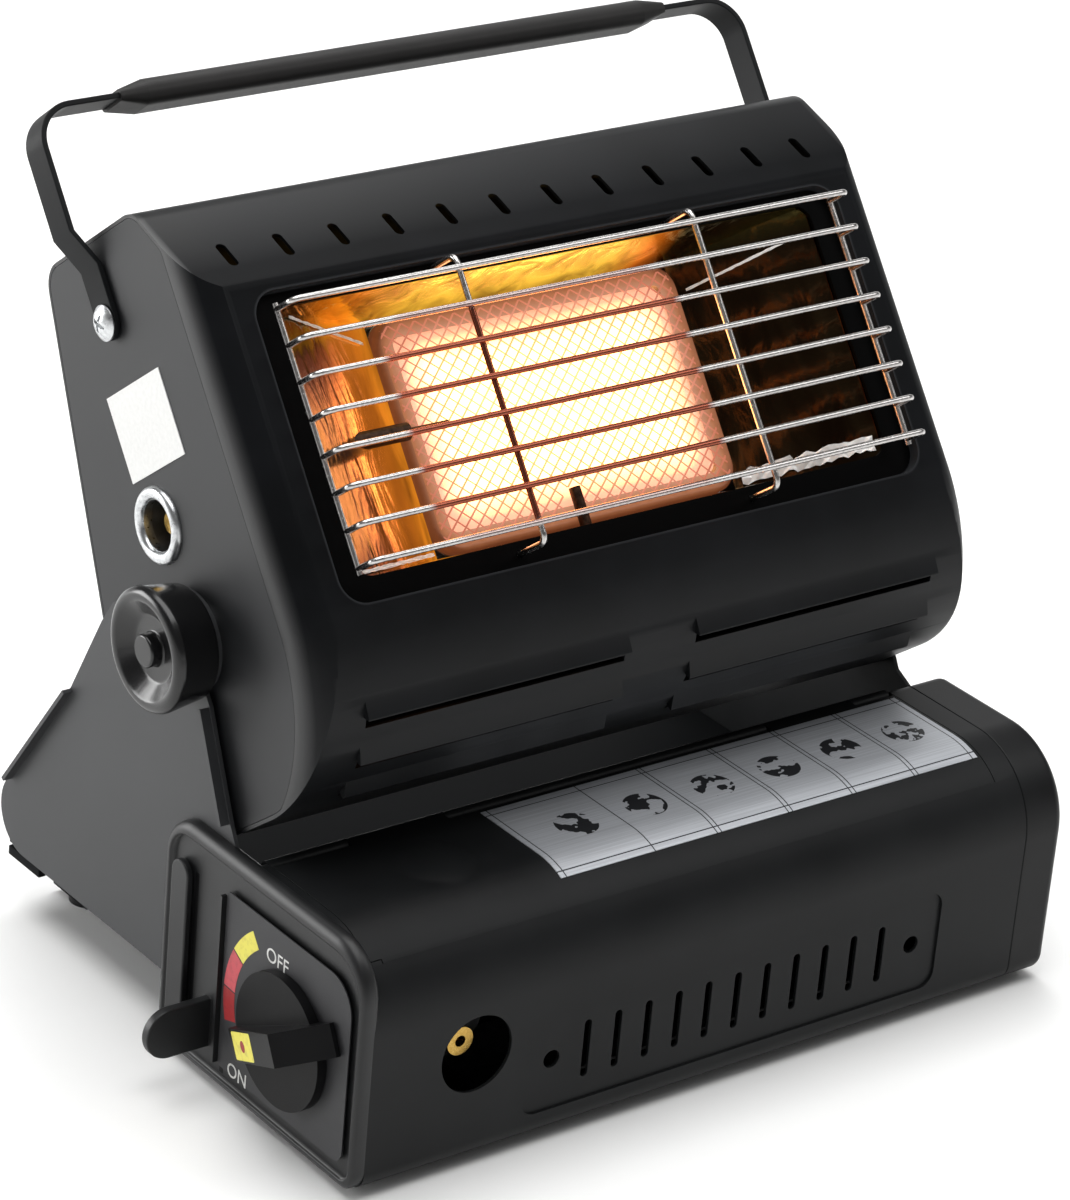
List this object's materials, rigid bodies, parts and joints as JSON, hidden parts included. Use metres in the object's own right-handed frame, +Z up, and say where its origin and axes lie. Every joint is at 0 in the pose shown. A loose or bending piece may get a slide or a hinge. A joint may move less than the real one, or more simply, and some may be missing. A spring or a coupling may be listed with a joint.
{
  "type": "gas heater",
  "caption": "Portable gas cartridge heater: a low box base with lid, brackets and a tilting head with a ceramic burner behind a wire guard.",
  "frame": {"origin": "middle of the bounding box's underside, at floor height below the rubber feet", "axes": "+X to the right seen from the burner side, along the tilt axis; +Y from the front to the back; +Z up"},
  "size_m": [0.3244, 0.2228, 0.2985],
  "materials": {
    "black_paint": "satin",
    "head_paint": "satin",
    "grey_paint": "satin",
    "brace_paint": "satin",
    "black_plastic": "satin",
    "panel_print": "satin",
    "foil": "satin",
    "plated_steel": "polished",
    "mirror_steel": "polished",
    "plain_steel": "satin",
    "rubber": "matte",
    "fibre": "matte",
    "brass": "satin",
    "copper": "satin",
    "die_cast": "satin",
    "ceramic": "matte",
    "insulator": "gloss",
    "sticker": "matte"
  },
  "bodies": {
    "base": {"base_shell": "black_paint", "lid_hinge_pin": "plated_steel", "left_end_cap": "black_plastic", "control_panel": "panel_print", "right_end_cap": "black_paint", "left_bracket": "grey_paint", "right_bracket": "grey_paint", "rear_brace": "brace_paint", "rubber_feet": "rubber", "bracket_screws": "plated_steel", "gas_valve": "brass", "regulator": "die_cast", "hose_nipple": "brass", "gas_pipe": "copper", "spark_igniter": "insulator", "cartridge_cradle": "plain_steel", "cartridge_stop": "plain_steel", "lever_guide": "black_plastic"},
    "lid_body": {"lid": "black_paint", "lid_label": "foil"},
    "knob_body": {"control_knob": "black_plastic", "valve_spindle": "brass"},
    "lever_body": {"lock_lever": "black_plastic"},
    "head": {"front_panel": "head_paint", "left_side_plate": "grey_paint", "right_side_plate": "grey_paint", "back_panel": "head_paint", "back_screws": "plated_steel", "reflector": "mirror_steel", "burner_box": "plain_steel", "ceramic_tile": "ceramic", "tile_frame": "plain_steel", "mixing_tube": "plain_steel", "air_inlet_ring": "plated_steel", "injector": "brass", "spark_electrode": "insulator", "flame_sensor": "copper", "wire_guard": "plated_steel", "heat_shield": "plain_steel", "side_sticker": "sticker", "pivot_studs": "plated_steel", "pivot_washers": "fibre", "handle_screws": "plated_steel"},
    "left_tilt_body": {"left_tilt_knob": "black_plastic"},
    "right_tilt_body": {"right_tilt_knob": "black_plastic"},
    "handle_body": {"handle_bail": "grey_paint", "handle_grip": "black_plastic"}
  },
  "joints": [
    {"name": "head_tilt", "type": "hinge", "parent": "base", "child": "head", "pos_m": [0.00475, 0.002, 0.148], "axis": [1, 0, 0], "range_deg": [-22, 38]},
    {"name": "lid_open", "type": "hinge", "parent": "base", "child": "lid_body", "pos_m": [0.00475, -0.0436, 0.0864], "axis": [-1, 0, 0], "range_deg": [0, 45]},
    {"name": "control_knob_turn", "type": "hinge", "parent": "base", "child": "knob_body", "pos_m": [-0.14225, -0.0711, 0.0403], "axis": [1, 0, 0], "range_deg": [0, 100]},
    {"name": "lock_lever_slide", "type": "slide", "parent": "base", "child": "lever_body", "axis": [0, 0, 1], "range_m": [0, 0.03]},
    {"name": "left_tilt_knob_turn", "type": "hinge", "parent": "head", "child": "left_tilt_body", "pos_m": [-0.13525, 0.002, 0.148], "axis": [-1, 0, 0], "range_deg": [0, 360]},
    {"name": "right_tilt_knob_turn", "type": "hinge", "parent": "head", "child": "right_tilt_body", "pos_m": [0.14475, 0.002, 0.148], "axis": [1, 0, 0], "range_deg": [0, 360]},
    {"name": "handle_fold", "type": "hinge", "parent": "head", "child": "handle_body", "pos_m": [0.00475, 0.06057, 0.23506], "axis": [-1, 0, 0], "range_deg": [-20, 105]}
  ]
}
